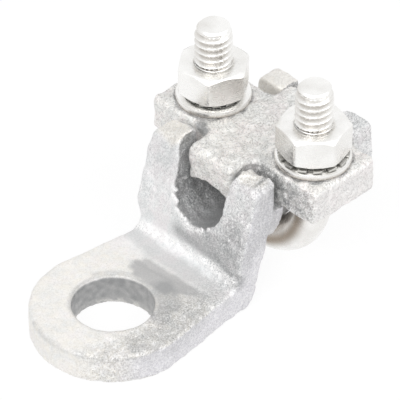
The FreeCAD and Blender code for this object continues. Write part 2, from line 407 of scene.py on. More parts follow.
# marks on the castings in millimetres: a route, how far the mark reaches from it, how softly it ends
# and how strong it is; a pull has its shift in the last place
lugMarks = {
    "round": [
        # front prongs
        ([(25.6, -5.2, 23.4), (25.4, -6.2, 23.4)], 0.8, 1.8, 0.9),
        ([(21.3, -5.7, 23.4), (21.3, -11.7, 23.4), (25.2, -11.7, 23.4)], 0.5, 1.0, 0.22),
        ([(21.0, -11.9, 22.4), (19.2, -11.9, 17.0), (18.2, -11.9, 13.6)], 0.5, 1.0, 0.35),
        ([(25.2, 5.5, 23.4), (21.3, 5.5, 23.4), (21.3, 11.7, 23.4), (25.2, 11.7, 23.4)], 0.5, 1.0, 0.25),
        # rear prongs
        ([(43.7, 5.1, 22.8), (43.7, 11.5, 22.8), (48.2, 11.5, 22.8), (48.2, 5.1, 22.8)],
         0.5, 1.0, 0.22),
        ([(43.7, -5.1, 22.8), (43.7, -11.5, 22.8), (48.2, -11.5, 22.8), (48.2, -5.1, 22.8)],
         0.3, 0.7, 0.15),
    ],
    "polish": [
        # rubbed patch between hole and bend
        ([(8.3, 2.6, 5.6), (8.3, -3.8, 5.6)], 0.7, 0.7, 1.0),
        ([(9.0, 4.2, 5.6), (9.5, -5.0, 5.6)], 0.6, 1.0, 1.0),
        ([(9.9, 4.8, 5.6), (10.1, -6.0, 5.6)], 0.5, 0.5, 1.0),
        ([(10.9, 3.6, 5.6), (11.2, -7.0, 5.6)], 0.6, 0.7, 0.9),
        ([(11.5, 0.0, 5.6), (12.0, -9.0, 5.6)], 0.3, 0.8, 0.5),
        # shine along the bend
        ([(15.0, 11.5, 5.7), (14.0, 4.0, 5.6), (14.0, -2.0, 5.6), (13.8, -7.5, 5.6), (13.8, -11.4, 5.6)],
         1.0, 1.2, 0.45),
    ],
    "burr": [
        # a raised ridge along the bend, bright with painted glints
        ([(16.5, 11.6, 6.3), (16.7, 5.8, 6.5), (16.9, 0.2, 6.8), (16.9, -5.4, 6.8), (16.6, -10.4, 6.5)],
         0.5, 0.7, 1.0),
        # a raised step in the slot's left wall; its bright line is painted light
        ([(19.0, 5.5, 16.7), (21.9, 5.5, 16.4)], 0.25, 0.3, 1.0),
    ],
    "stainAndShade": [
        # riser, from its foot to the left prong and the right edge; the dark bands along its foot and its
        # crease are painted shade
        ([(17.2, 2.4, 9.2), (17.2, -4.2, 8.6), (17.2, -6.9, 8.2), (17.2, -9.2, 7.6), (17.2, -11.3, 7.0)],
         0.5, 1.8, 0.8),
        ([(20.9, 8.2, 22.4), (20.4, 8.4, 19.0)], 1.6, 2.2, 0.22),
        ([(17.3, -3.0, 10.4), (17.4, -6.9, 10.6), (17.6, -10.0, 10.9)], 1.2, 3.0, 0.7),
        ([(18.5, -8.8, 14.9), (18.0, -10.4, 13.1)], 0.8, 3.0, 0.6),
        # tab, beside the rubbed patch and round the hole
        ([(9.5, 5.4, 5.6), (10.4, -0.4, 5.6), (10.9, -4.2, 5.6), (12.6, -9.4, 5.6)], 0.1, 0.8, 0.3),
        ([(8.8, 4.0, 5.6), (9.2, 1.0, 5.6)], 0.4, 1.4, 0.14),
        ([(8.0, -3.0, 5.6), (6.6, -6.8, 5.6), (3.5, -7.6, 5.6)], 1.2, 1.8, 0.72),
        ([(9.9, -9.1, 5.6), (5.9, -11.5, 5.6), (1.6, -12.1, 5.6), (-3.7, -10.8, 5.6)], 1.4, 2.4, 0.4),
        ([(2.7, 7.3, 5.6), (5.2, 6.0, 5.6), (7.2, 2.8, 5.6)], 0.2, 0.6, 0.35),
        # right prong: a dark groove on top, and its side
        ([(21.9, -10.3, 22.0), (23.4, -10.0, 22.2), (25.0, -9.8, 22.4)], 0.22, 0.4, 0.95),
        ([(24.5, -11.9, 14.4), (19.0, -11.9, 13.2)], 1.5, 2.5, 0.4),
        ([(23.5, -11.9, 21.5), (22.5, -11.9, 17.0)], 1.8, 2.0, 0.35),
        # the tab's upper edge, then the left prong's corner
        ([(-12.3, 5.4, 5.2), (-13.5, 1.5, 5.2), (-13.5, -2.0, 5.2), (-12.1, -6.4, 5.2), (-9.8, -9.8, 5.2),
          (-6.2, -12.5, 5.2), (-2.0, -13.8, 5.2)], 0.2, 0.5, 0.4),
        ([(24.6, 5.6, 23.4), (25.3, 7.2, 23.4)], 0.3, 0.6, 0.6),
    ],
    "cream": [
        # tops of the prongs, then the tab's left
        ([(43.9, 6.0, 21.5), (43.9, 11.0, 21.5)], 1.5, 1.5, 0.9),
        ([(22.6, 7.2, 23.4), (23.2, 10.2, 23.4)], 1.8, 1.2, 1.0),
        ([(23.0, -6.8, 23.2), (23.2, -9.3, 22.6)], 1.2, 1.0, 0.8),
        ([(45.5, 6.5, 22.8), (45.5, 10.5, 22.8)], 3.6, 2.0, 0.7),
        ([(6.6, 10.6, 5.6), (-0.7, 11.5, 5.6), (-6.2, 10.8, 5.6), (-8.7, 6.3, 5.6)], 2.0, 4.0, 0.4),
    ],
    "pull": [
        # left prong, left side of the riser, right prong's inner and outer edge
        ([(23.2, 6.5, 23.2), (23.2, 11.5, 21.8)], 1.5, 4.5, (0, 0.9, 1.0)),
        ([(17.6, 11.9, 11.6), (20.0, 11.9, 17.0)], 1.5, 3.6, (0, 1.1, 0)),
        ([(23.2, -6.0, 23.2), (23.2, -6.0, 21.5)], 0.5, 3.0, (0, -0.8, 0.6)),
        ([(21.5, -11.2, 21.8), (25.0, -11.2, 21.8)], 0.5, 3.5, (0, 0, 1.2)),
    ],
}

keeperMarks = {
    "round": [
        # front nose
        ([(21.7, -4.5, 23.5), (21.7, 2.0, 23.5)], 1.6, 2.2, 1.0),
        ([(21.7, -5.1, 22.5), (21.7, -5.1, 18.5)], 0.3, 0.8, 0.3),
        # ears
        ([(41.3, -18.9, 23.5), (26.5, -18.9, 23.5), (26.5, -7.0, 23.5)], 0.3, 0.7, 0.25),
        ([(41.3, 18.9, 23.5), (26.5, 18.9, 23.5), (26.5, 7.0, 23.5)], 0.3, 0.7, 0.25),
    ],
    "polish": [],
    "burr": [],
    "stainAndShade": [
        # painted shade beside the right prong and down the right ear, a stain in the middle, painted shade
        # beside the left prong
        ([(26.0, -6.4, 23.0), (24.2, -5.6, 23.2), (22.9, -5.2, 23.2)], 0.15, 0.6, 0.7),
        ([(26.5, -7.0, 22.0), (26.5, -10.0, 19.0)], 1.0, 2.5, 0.6),
        ([(39.0, 0.0, 23.5), (41.5, 5.0, 23.5)], 1.5, 3.0, 0.22),
        ([(26.9, 7.4, 23.2), (26.2, 5.8, 22.9)], 0.8, 0.7, 1.0),
    ],
    "cream": [
        ([(23.0, -1.0, 23.4), (27.0, 0.5, 23.5)], 2.5, 3.0, 0.2),
        ([(31.0, 6.0, 23.5), (25.0, 6.0, 23.5)], 1.0, 2.0, 0.3),
    ],
    "pull": [
        ([(22.0, 4.9, 22.0), (26.0, 4.9, 21.0)], 0.5, 3.0, (0, 0.35, 0)),
    ],
}


def nearestOnRoute(points, route):
    # distance from every point to a route of straight stretches
    nearest = np.full(len(points), 1.0)
    for start, end in zip(route, route[1:]):
        start = np.array(start) * mm
        along = np.array(end) * mm - start
        share = np.clip((points - start) @ along / (along @ along), 0, 1)
        away = np.linalg.norm(points - start - share[:, None] * along, axis=1)
        nearest = np.minimum(nearest, away)
    return nearest


def markStrength(points, marks, ragged=0):
    strength = np.zeros(len(points))
    for route, reach, softness, amount in marks:
        wander = min((reach + softness) / casting["fullWander"], 1)
        distance = nearestOnRoute(points, route) + ragged * wander
        share = np.clip((reach * mm - distance) / (softness * mm) + 1, 0, 1)
        strength = np.maximum(strength, share * amount)
    return strength


def roundOff(points, edges, weight, passes):
    # draws each vertex towards its neighbours, as far as its weight says
    ends = np.concatenate([edges[:, 0], edges[:, 1]])
    others = np.concatenate([edges[:, 1], edges[:, 0]])
    count = np.bincount(ends, minlength=len(points))[:, None]
    for step in range(passes):
        sums = [np.bincount(ends, points[others, axis], len(points)) for axis in range(3)]
        points += (np.stack(sums, axis=1) / count - points) * (weight[:, None] * casting["stride"])


def pullPoints(points, pulls):
    # castings warp: moves whole corners a little, with a soft edge
    for route, reach, softness, shift in pulls:
        share = markStrength(points, [(route, reach, softness, 1.0)])
        share = share * share * (3 - 2 * share)
        points += share[:, None] * np.array(shift) * mm


def remeshed(node, name):
    obj = bpy.data.objects.new(name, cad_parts[node].data.copy())
    bpy.context.scene.collection.objects.link(obj)
    remesh = obj.modifiers.new("skin", "REMESH")
    remesh.mode = "VOXEL"
    remesh.voxel_size = casting["voxel"]
    worn = obj.modifiers.new("worn", "SMOOTH")
    worn.factor = casting["stride"]
    worn.iterations = casting["edgeSmoothing"]
    bakeModifiers(obj)
    return obj


def skinWaves(points, seed):
    waves = []
    for step, frequency in enumerate(casting["waves"]):
        offset = Vector((seed, casting["waveStep"] * step, casting["waveStart"]))
        waves.append(np.array([noise.noise(Vector(p) * frequency + offset) for p in points]))
    return waves


def sandCast(node, name, seed, marks, shapeSkin):
    obj = remeshed(node, name)
    mesh = obj.data
    points = readVertices(mesh, "co")
    edges = np.empty(len(mesh.edges) * 2, dtype=np.int64)
    mesh.edges.foreach_get("vertices", edges)
    rounding = markStrength(points, marks["round"])
    roundOff(points, edges.reshape(-1, 2), rounding, casting["roundingPasses"])
    mesh.vertices.foreach_set("co", points.ravel())
    mesh.update()
    normals = readVertices(mesh, "normal")

    waves = skinWaves(points, seed)
    fineWave = waves[2]
    fineShare = casting["fineShare"]
    ragged = casting["raggedness"] * ((1 - fineShare) * waves[1] + fineShare * fineWave)
    wear = {key: markStrength(points, marks[key], ragged) for key in ("polish", "burr", "stainAndShade", "cream")}
    shapeSkin(points, normals, wear, ragged, fineWave)
    wear["coarse"] *= 1 - casting["polishCalm"] * wear["polish"]
    depth = np.full(len(points), -casting["depth"])
    for wave, reach in zip(waves, casting["waves"].values()):
        depth += reach * wave * wear["coarse"]
    depth = np.minimum(depth, 0)
    depth += wear["burr"] * casting["burrHeight"] * np.clip(fineWave + casting["burrMean"], 0, 1)
    points += normals * depth[:, None]
    pullPoints(points, marks["pull"])
    mesh.vertices.foreach_set("co", points.ravel())
    paintVertices(mesh, "wear", wear["polish"], wear["burr"], wear["stainAndShade"], wear["side"])
    paintVertices(mesh, "skin", wear["coarse"], wear["cream"])
    softShade(mesh, 180)
    mesh.update()
    return obj


def fadeIn(values, start, end):
    # 0 before the start, 1 after the end
    return np.clip((values - start) / (end - start), 0, 1)


def atLeast(wear, key, amount):
    wear[key] = np.maximum(wear[key], amount)


# the lug's skin: where a value is a pair, the change starts at the first and is complete at the second

lugShape = {
    "riser": (7 * mm, 12 * mm),        # heights at which the tab turns into the riser
    "tabCoarse": 0.25,
    "riserCoarse": 0.27,               # on top of the tab's
    "riserRight": (-3 * mm, 7 * mm),   # the right half is coarser still
    "riserRightCoarse": 0.38,
    "tabRight": (4 * mm, 9 * mm),
    "tabRightCoarse": 0.6,
    "sideways": (0.75, 0.92),          # share of the normal
    "sides": (9 * mm, 10 * mm),        # the flat sides in front of the bolt
    "sidesEnd": 30 * mm,
    "sidesCalm": 0.45,                 # share of the coarseness that they lack
    "sidesTop": (19 * mm, 24 * mm),
    "sidesRagged": 2,
    "rearProng": (42 * mm, 43.5 * mm),
    "rearProngLeft": (0, 3 * mm),
    "rearProngCalm": 0.35,
    "cream": 0.6,
    "creamWave": 0.5,
    "creamEnd": (9 * mm, 14 * mm),
}

hole = {
    "radius": 6.6 * mm,
    "wall": 0.25 * mm,                 # what counts as wall lies this close to it
    "wallFade": 0.15 * mm,
    "polish": 0.95,
    "lowRim": (0.5 * mm, 1.6 * mm),    # painted light: the wall is lighter along its lower edge, here and there
    "lowRimWave": (-0.25, 0.15),
    "lowRimLight": 0.7,
    "stainAndShade": 0.82,
    "shadeWave": 0.7,
    "lighterSide": (1 * mm, 7 * mm),        # its painted shade thins towards +x and -y
    "lighterSideLift": 0.3,
    "lighterSideRagged": 3,
    "ringGap": 0.45 * mm,              # a painted shadow ring round the upper edge
    "ringWidth": 0.6 * mm,
    "ringFoot": 4.5 * mm,
    "ringShade": 0.2,
    "ringFar": (-5 * mm, 5 * mm),      # darker on the far side
    "ringFarShade": 0.45,
}

trough = {
    "radius": 5.5 * mm,
    "axis": 16.9 * mm,
    "riserFoot": (17.2 * mm, 10.5 * mm),       # where the front starts to lean back, x and z
    "riserSlope": 0.302,
    "slotFoot": 15.6 * mm,             # the torn rim lies below the slot
    "tornRight": -2.6 * mm,            # and doesn't reach further right than this
    "tornGap": 0.1 * mm,
    "tornWidth": 0.5 * mm,
    "tornStrength": 1.5,
    "tornRagged": 0.7,
    "slotTurn": 0.6,
    "slotWidth": 6 * mm,
    "slotStart": (0.3 * mm, 0.9 * mm),
    "slotShade": 0.12,
    "wall": 0.15 * mm,
    "wallStart": 0.5 * mm,
    "right": (-3.8 * mm, 0.5 * mm),    # the wall turns darker and smoother to the right
    "rightCalm": 0.75,
    "stainAndShade": 0.88,
    "rightShade": 0.12,
    "tongue": 0.75 * mm,               # small tongues of the torn rim lean into the trough
    "tongueMiddle": 0.3 * mm,
    "tongueReach": 0.8 * mm,
    "tongueGap": 0.4 * mm,
    "tongueStart": (-4.5 * mm, -2.5 * mm),
    "tongueMean": 0.25,
    "tongueWave": 1.6,
    "tongueBare": 3,
    "tongueClean": 0.8,
}


def lugShapeSkin(points, normals, wear, ragged, fineWave):
    calmTab(points, normals, wear, ragged, fineWave)
    drilledHole(points, wear, ragged, fineWave)
    darkTrough(points, normals, wear, ragged, fineWave)


def calmTab(points, normals, wear, ragged, fineWave):
    # a calm and creamy tab, a coarser riser, smooth sides with a painted side shade
    x, y, z = points.T
    high = fadeIn(z, *lugShape["riser"])
    riserRight = fadeIn(-y, *lugShape["riserRight"]) * high
    tabRight = fadeIn(-y, *lugShape["tabRight"]) * (1 - high)
    coarse = lugShape["tabCoarse"] + lugShape["riserCoarse"] * high
    coarse += lugShape["riserRightCoarse"] * riserRight + lugShape["tabRightCoarse"] * tabRight
    side = fadeIn(np.abs(normals[:, 1]), *lugShape["sideways"]) * fadeIn(np.abs(y), *lugShape["sides"])
    side *= x < lugShape["sidesEnd"]
    coarse *= 1 - lugShape["sidesCalm"] * side
    # the rear left prong gets a calmer, lighter skin: painted light where the left nut's shadow falls
    rearProng = fadeIn(x, *lugShape["rearProng"]) * fadeIn(y, *lugShape["rearProngLeft"])
    wear["coarse"] = coarse * (1 - lugShape["rearProngCalm"] * rearProng)
    wear["side"] = side * (1 - fadeIn(z + lugShape["sidesRagged"] * ragged, *lugShape["sidesTop"]))
    cream = lugShape["cream"] + lugShape["creamWave"] * fineWave
    atLeast(wear, "cream", cream * (1 - fadeIn(x, *lugShape["creamEnd"])))


def drilledHole(points, wear, ragged, fineWave):
    x, y, z = points.T
    fromAxis = np.hypot(x, y)
    # the bore's wall is smooth, and dark with the polish and stain colours: painted shade
    inHole = np.clip((hole["radius"] + hole["wall"] - fromAxis) / hole["wallFade"], 0, 1) * hole["polish"]
    lowRim = (1 - fadeIn(z, *hole["lowRim"])) * fadeIn(fineWave, *hole["lowRimWave"])
    inHole *= 1 - hole["lowRimLight"] * lowRim
    atLeast(wear, "polish", inHole)
    lighterSide = fadeIn(x - y + hole["lighterSideRagged"] * ragged, *hole["lighterSide"])
    stainAndShade = hole["stainAndShade"] - hole["lighterSideLift"] * lighterSide + hole["shadeWave"] * fineWave
    atLeast(wear, "stainAndShade", inHole * stainAndShade)
    # painted shadow round the upper edge, darker on the far side
    ringGap = np.abs(fromAxis - hole["radius"] - hole["ringGap"])
    ring = np.clip(1 - ringGap / hole["ringWidth"], 0, 1) * (z > hole["ringFoot"])
    far = fadeIn(x + y, *hole["ringFar"])
    atLeast(wear, "stainAndShade", ring * (hole["ringShade"] + hole["ringFarShade"] * far))


def darkTrough(points, normals, wear, ragged, fineWave):
    x, y, z = points.T
    footX, footZ = trough["riserFoot"]
    behindFront = x - (footX + (z - footZ) * trough["riserSlope"])
    belowAxis = np.minimum(z - trough["axis"], 0)
    fromAxis = np.hypot(y, belowAxis)
    low = z < trough["slotFoot"]

    # bare torn metal along the front rim
    rimGap = np.hypot(fromAxis - trough["radius"] - trough["tornGap"], behindFront)
    rimGap += trough["tornRagged"] * ragged
    torn = np.clip(trough["tornStrength"] - rimGap / trough["tornWidth"], 0, 1)
    atLeast(wear, "burr", torn * low * (y > trough["tornRight"]))

    # painted shade on the walls of the slot and of the trough
    inSlot = (np.abs(normals[:, 1]) > trough["slotTurn"]) & (np.abs(y) < trough["slotWidth"])
    inSlot &= z > trough["slotFoot"]
    slotShade = trough["slotShade"] * fadeIn(behindFront, *trough["slotStart"])
    atLeast(wear, "stainAndShade", inSlot * slotShade * (1 - wear["burr"]))
    inTrough = (fromAxis < trough["radius"] + trough["wall"]) & (behindFront > trough["wallStart"])
    right = fadeIn(-y, *trough["right"])
    wear["coarse"] = np.where(inTrough, 1 - trough["rightCalm"] * right, wear["coarse"])
    wear["stainAndShade"] = np.where(inTrough, trough["stainAndShade"] + trough["rightShade"] * right, wear["stainAndShade"])

    # the tongues
    nearRim = np.clip(1 - np.abs(behindFront - trough["tongueMiddle"]) / trough["tongueReach"], 0, 1)
    nearRim *= np.abs(fromAxis - trough["radius"]) < trough["tongueGap"]
    nearRim *= low * fadeIn(y, *trough["tongueStart"])
    share = nearRim * np.clip(trough["tongueMean"] + trough["tongueWave"] * fineWave, 0, 1)
    points[:, 1] -= y / fromAxis * share * trough["tongue"]
    points[:, 2] -= belowAxis / fromAxis * share * trough["tongue"]
    bare = np.clip(share * trough["tongueBare"], 0, 1)
    atLeast(wear, "burr", bare)
    wear["stainAndShade"] *= 1 - trough["tongueClean"] * bare


keeperShape = {
    "coarse": 0.75,
    "facing": (0.5, 0.9),              # share of the normal that looks to the front
    "frontRight": -6 * mm,             # the right ear's front is the coarsest
    "frontRightCoarse": 0.6,
    "frontLeft": 6 * mm,
    "frontLeftCalm": 0.1,
    "sideways": (0.7, 0.95),
    "sides": 15 * mm,
    "side": 0.6,
    "sidesCalm": 0.25,
    "frontShade": 0.34,
    "prongShade": 0.5,                 # more of it towards the prong
    "prongSide": (9 * mm, 18 * mm),
    "shadeWave": 1.3,
    "notchEnd": 27.2 * mm,             # painted shade in the notches beside the prongs
    "notch": (4.9 * mm, 9.5 * mm),
    "notchTurn": 0.75,
    "notchShade": 0.85,
    "notchDepth": (-23 * mm, -20 * mm),
    "notchRight": (-7 * mm, 4 * mm),
    "shadowRadius": 6.5 * mm,           # painted contact shadow round each washer
    "shadowReach": 0.22 * mm,
    "shadowStrength": 1.4,
    "shadowRagged": 0.3,
    "shadowFoot": 22 * mm,
    "paintedShade": 0.8,
}


def keeperShapeSkin(points, normals, wear, ragged, fineWave):
    x, y, z = points.T
    facing = fadeIn(-normals[:, 0], *keeperShape["facing"])
    frontRight = facing * (y < keeperShape["frontRight"])
    frontLeft = facing * (y > keeperShape["frontLeft"])
    # the keeper's sideways faces take the painted side shade
    outside = fadeIn(np.abs(normals[:, 1]), *keeperShape["sideways"]) * (np.abs(y) > keeperShape["sides"])
    wear["side"] = keeperShape["side"] * outside
    wear["coarse"] = keeperShape["coarse"] + keeperShape["frontRightCoarse"] * frontRight
    # a calmer skin makes the left ear's front lighter: painted light
    wear["coarse"] -= keeperShape["sidesCalm"] * outside + keeperShape["frontLeftCalm"] * frontLeft
    # painted shade on the right ear's front, deeper towards the prong that shades it
    nearProng = 1 - fadeIn(-y, *keeperShape["prongSide"])
    frontShade = keeperShape["frontShade"] + keeperShape["prongShade"] * nearProng
    atLeast(wear, "stainAndShade", frontShade * frontRight * (1 + keeperShape["shadeWave"] * fineWave))

    # painted shade in the notches, darker further down and to the right
    notchStart, notchEnd = keeperShape["notch"]
    inNotch = (x < keeperShape["notchEnd"]) & (np.abs(y) > notchStart) & (np.abs(y) < notchEnd)
    inNotch &= np.abs(normals[:, 2]) < keeperShape["notchTurn"]
    deep = 0.5 + 0.5 * fadeIn(-z, *keeperShape["notchDepth"])
    right = fadeIn(-y, *keeperShape["notchRight"])
    atLeast(wear, "stainAndShade", keeperShape["notchShade"] * inNotch * deep * right)

    # a painted contact shadow round each washer
    for side in hands.values():
        fromLeg = np.hypot(x - legCentreX, y - side * legCentreY)
        gap = np.abs(fromLeg - keeperShape["shadowRadius"]) + keeperShape["shadowRagged"] * ragged
        share = np.clip(keeperShape["shadowStrength"] - gap / keeperShape["shadowReach"], 0, 1)
        atLeast(wear, "stainAndShade", keeperShape["paintedShade"] * share * (z > keeperShape["shadowFoot"]))


castLug = sandCast("lug_body", "castLug", 3.0, lugMarks, lugShapeSkin)
dress(castLug, lugMetal, "root", "casting", "lug_body")
castKeeper = sandCast("keeper", "castKeeper", 11.0, keeperMarks, keeperShapeSkin)
dress(castKeeper, keeperMetal, "keeper_set", "casting", "keeper")


# one thread shape for the legs and the nuts

thread = {
    "pitch": 1.27 * mm,
    "crestRadius": 3.175 * mm,
    "rootRadius": 2.42 * mm,
    "crestFlat": 0.14,             # share of the pitch
    "rootFlat": 0.26,
    "stepsPerTurn": 20,
    "runOut": 1.5,                 # turns in which the groove fades out
    "length": 19 * mm,
}


def threadRadius(angle, height):
    # a right-hand thread climbs with the angle
    phase = (height / thread["pitch"] - angle / fullTurn) % 1.0
    fromCrest = min(phase, 1 - phase) * 2
    crest = thread["crestFlat"]
    root = 1 - thread["rootFlat"]
    share = min(max((fromCrest - crest) / (root - crest), 0), 1)
    return thread["crestRadius"] + (thread["rootRadius"] - thread["crestRadius"]) * share


# U-bolt: one skin from tip to tip

uBolt = {
    "rod": 3.175 * mm,
    "around": 72,
    "bendRings": 56,
    "plainRings": 6,
    "tipChamfer": 0.65 * mm,
    "tipSlope": 1.2,
    "chamferRings": (0.75, 0.5, 0.25, 0.08),
    "tipDish": 0.05 * mm,
    "dishRings": [(1, 0.45), (0.6, 0.8), (0, 1.0)],        # share of its depth and of the tip's radius
    "tipRadius": 2.82 * mm,        # the first turn is cut down so that the nut finds the thread
    "tipLength": 1.1 * mm,
    "tipFade": 0.45 * mm,
    "shoulder": 0.42 * mm,         # a painted shade line round the tip, this far below its end
    "shoulderWidth": 0.14 * mm,
    "grooveShade": 0.36,
    "frontReflection": 0.13,               # a painted straw-coloured reflection down the front of each leg
    "reflectionTurn": -2.34,
    "reflectionFocus": 6,
    "bendShade": 0.08,
    "reflectionWidth": 0.42,             # a painted dark reflection along the bend's front
    "insideShade": 0.7,
    "insideFull": 0.5,
    "sharpDeg": 28,
}


def legRadius(angle, height, threadStart, top):
    fade = min(max((height - threadStart) / (thread["runOut"] * thread["pitch"]), 0), 1)
    full = threadRadius(angle, height)
    radius = uBolt["rod"] + (full - uBolt["rod"]) * fade
    inTip = min(max((height - top + uBolt["tipLength"] + uBolt["tipFade"]) / uBolt["tipFade"], 0), 1)
    turnedDown = uBolt["rod"] + (uBolt["tipRadius"] - uBolt["rod"]) * inTip
    return min(radius, turnedDown, uBolt["rod"] - uBolt["tipChamfer"] + (top - height) * uBolt["tipSlope"])


def makeUBolt():
    legY = uHigh.y - uBolt["rod"]
    bendZ = uLow.z + uHigh.y
    top = uHigh.z
    threadStart = top - thread["length"]
    turns = int((top - uBolt["tipChamfer"] - threadStart) / thread["pitch"] * thread["stepsPerTurn"])
    heights = [bendZ + (threadStart - bendZ) * k / uBolt["plainRings"] for k in range(uBolt["plainRings"])]
    heights += [threadStart + k * thread["pitch"] / thread["stepsPerTurn"] for k in range(turns + 1)]
    heights += [top - uBolt["tipChamfer"] * share for share in uBolt["chamferRings"]]
    dish = [(top - uBolt["tipDish"] * share, shrink) for share, shrink in uBolt["dishRings"]]
    around = uBolt["around"]
    shades = []

    def legRing(side, height, shrink=1.0):
        ring = []
        for j in range(around):
            turn = fullTurn * j / around
            angle = turn if side < 0 else -turn
            radius = legRadius(angle, height, threadStart, top) * shrink
            groove = (uBolt["rod"] - radius) / (thread["crestRadius"] - thread["rootRadius"])
            inThread = height < top - uBolt["tipLength"]
            facing = max(math.cos(turn - uBolt["reflectionTurn"] * side), 0)
            atShoulder = max(1 - abs(top - height - uBolt["shoulder"]) / uBolt["shoulderWidth"], 0)
            # painted shade in the thread's grooves and along the tip's shoulder
            paintedShade = uBolt["grooveShade"] * max(groove * inThread, atShoulder)
            shades.append(paintedShade + uBolt["frontReflection"] * facing ** uBolt["reflectionFocus"])
            ring.append((legCentreX + radius * math.cos(turn),
                         side * (legY - radius * math.sin(turn)), height))
        return ring

    def bendRing(swing):
        ring = []
        for j in range(around):
            turn = fullTurn * j / around
            reach = legY - uBolt["rod"] * math.sin(turn)
            # a painted dark reflection along the front, painted shade on the inside
            band = math.exp(-((turn - math.pi) / uBolt["reflectionWidth"]) ** 2)
            inside = uBolt["insideShade"] * min(max(math.sin(turn) / uBolt["insideFull"], 0), 1)
            shades.append(max(band, inside, uBolt["bendShade"]))
            ring.append((legCentreX + uBolt["rod"] * math.cos(turn), reach * math.cos(swing),
                         bendZ - reach * math.sin(swing)))
        return ring

    rings = [legRing(1, height, shrink) for height, shrink in dish]
    rings += [legRing(1, height) for height in reversed(heights)]
    rings += [bendRing(math.pi * k / uBolt["bendRings"]) for k in range(1, uBolt["bendRings"])]
    rings += [legRing(-1, height) for height in heights]
    rings += [legRing(-1, height, shrink) for height, shrink in reversed(dish)]
    return ringPiece("threadedUBolt", rings, False, uBolt["sharpDeg"], shades)


dress(makeUBolt(), threadSteel, "root", "stainless", "u_bolt")


# nuts: both faces chamfered, the bore follows the leg's thread

nut = {
    "flats": 11.11 * mm,
    "faceShare": 0.94,             # chamfer circle against the flats
    "chamferDeg": 30,
    "cornerShare": 0.98,           # corners broken a little
    "cornerBlend": 0.07 * mm,
    "mouth": 3.34 * mm,
    "boreGap": 0.045 * mm,
    "aroundSide": 24,
    "edge": 0.12 * mm,
    "sharpDeg": 32,
    "middleRows": (0.3, 0.6),      # extra rows up the sides, for the painted shade and reflections
    "turnDeg": {"left": 38, "right": 16},
    "faceTones": {                 # painted shade and reflections at both ends of each of the six sides
        "left": [(0.1, 0.2), (0.2, 0.1), (0.03, 0.06), (0.1, 0.36), (0.04, 0.1), (0.1, 0.25)],
        "right": [(0.1, 0.2), (0.2, 0.1), (0.24, 0.08), (0.06, 0.03), (0.1, 0.14), (0.1, 0.25)],
    },
    "rowTones": [0, 0, 0.4, 0.5, 0.75, 1, 1],      # share of it from the lower face upwards
}


def hexRadius(turn):
    side = fullTurn / 6
    inSide = (turn % side) - side / 2
    flat = nut["flats"] / 2 / math.cos(inSide)
    corner = nut["flats"] / math.sqrt(3) * nut["cornerShare"]
    blend = nut["cornerBlend"]
    return -blend * math.log(math.exp((corner - flat) / blend) + 1) + corner


def nutProfile(angle, outer, low, high):
    # from the lower face up the side, over the upper face and down the bore
    edge = nut["edge"]
    slope = math.tan(math.radians(nut["chamferDeg"]))
    face = nut["flats"] / 2 * nut["faceShare"]
    drop = (outer - face) * slope
    profile = [
        (face - edge, low),
        (face + edge, low + edge * slope),
        (outer - edge, low + drop - edge * slope),
        (outer, low + drop + edge),
        *[(outer, low * (1 - share) + high * share) for share in nut["middleRows"]],
        (outer, high - drop - edge),
        (outer - edge, high - drop + edge * slope),
        (face + edge, high - edge * slope),
        (face - edge, high),
        (nut["mouth"] + edge, high),
        (nut["mouth"] - edge, high - edge),
    ]
    steps = int((high - low) / thread["pitch"] * thread["stepsPerTurn"])
    for k in range(1, steps):
        height = high - (high - low) * k / steps
        fromFace = min(height - low, high - height)
        radius = max(threadRadius(angle, height) + nut["boreGap"], nut["mouth"] - edge - fromFace)
        profile.append((radius, height))
    return profile + [(nut["mouth"] - edge, low + edge), (nut["mouth"] + edge, low)]


def makeNut(hand, side):
    low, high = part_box(hand + "_nut")
    around = nut["aroundSide"] * 6
    rings = []
    shades = []
    for j in range(around):
        angle = fullTurn * j / around
        fromCorner = angle - math.radians(nut["turnDeg"][hand])
        profile = nutProfile(angle, hexRadius(fromCorner), low.z, high.z)
        rings.append([(legCentreX + r * math.cos(angle), side * legCentreY + r * math.sin(angle), z)
                      for r, z in profile])
        inTurn = fromCorner % fullTurn / (fullTurn / 6)
        start, end = nut["faceTones"][hand][int(inTurn)]
        tone = start + (end - start) * (inTurn % 1)
        rowTones = nut["rowTones"] + [0] * (len(profile) - len(nut["rowTones"]))
        shades += [tone * share for share in rowTones]
    return ringPiece(hand + "HexNut", rings, True, nut["sharpDeg"], shades)


for hand, side in hands.items():
    dress(makeNut(hand, side), nutSteel, hand + "_nut_body", "stainless", hand + "_nut")


# washers: a stamped flat ring and a toothed ring on each leg

washer = {
    "outer": 6.35 * mm,
    "inner": 3.525 * mm,
    "edge": 0.16 * mm,
    "around": 120,
    "sharpDeg": 30,
    "shades": [0.3, 0.3, 0.9, 0.7, 0, 0.25, 0, 0.1, 0.3],      # painted shade, one for each corner of the section: darkest along the lower outer edge, a thin line at the upper one
}


def makeFlatWasher(hand, side):
    low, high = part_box(hand + "_washer")
    edge = washer["edge"]
    outer = washer["outer"]
    inner = washer["inner"]
    profile = [
        (inner, low.z + edge),
        (inner + edge * 0.6, low.z),
        (outer - edge * 0.5, low.z),
        (outer, low.z + edge * 0.5),
        (outer, high.z - edge * 1.3),
        (outer - edge * 0.35, high.z - edge * 0.45),
        (outer - edge * 1.3, high.z),
        (inner + edge, high.z),
        (inner, high.z - edge * 0.7),
    ]
    rings = []
    for j in range(washer["around"]):
        angle = fullTurn * j / washer["around"]
        rings.append([(legCentreX + r * math.cos(angle), side * legCentreY + r * math.sin(angle), z)
                      for r, z in profile])
    shades = washer["shades"] * washer["around"]
    return ringPiece(hand + "FlatWasher", rings, True, washer["sharpDeg"], shades)


